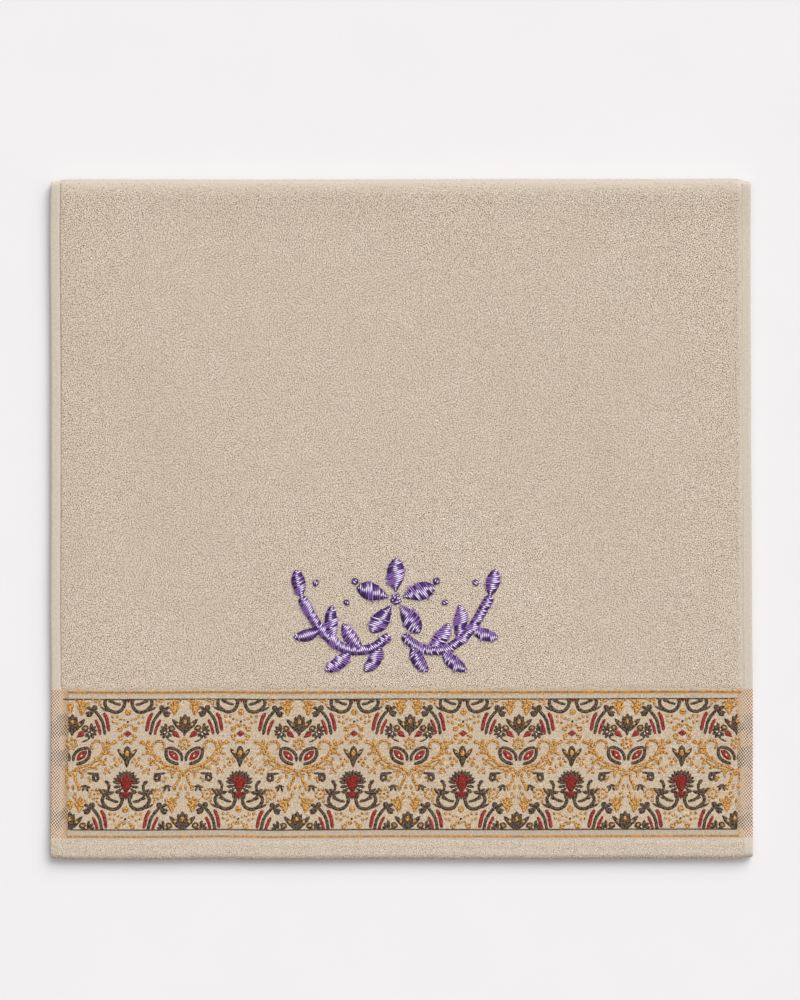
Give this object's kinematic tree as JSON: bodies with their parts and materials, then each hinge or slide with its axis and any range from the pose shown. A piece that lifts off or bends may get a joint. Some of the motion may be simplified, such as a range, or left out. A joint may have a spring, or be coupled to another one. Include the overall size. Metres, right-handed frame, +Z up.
{
  "type": "folded hair towel",
  "caption": "Beige terry hair towel, folded in two layers, with a flat-woven floral border across its lower end and plain stitched side hems.",
  "frame": {"origin": "middle of the folded towel's footprint, on the surface it lies on", "axes": "+X across the towel from side hem to side hem, +Y from the woven border towards the upper fold, +Z up"},
  "size_m": [0.5017, 0.4858, 0.0088],
  "materials": {
    "terry_cotton": "matt looped cotton pile",
    "dark_yarn": "matt cotton yarn",
    "red_yarn": "matt cotton yarn",
    "gold_yarn": "matt cotton yarn",
    "purple_thread": "shiny embroidery thread"
  },
  "bodies": {
    "root": {"towel": "terry_cotton"}
  },
  "joints": []
}
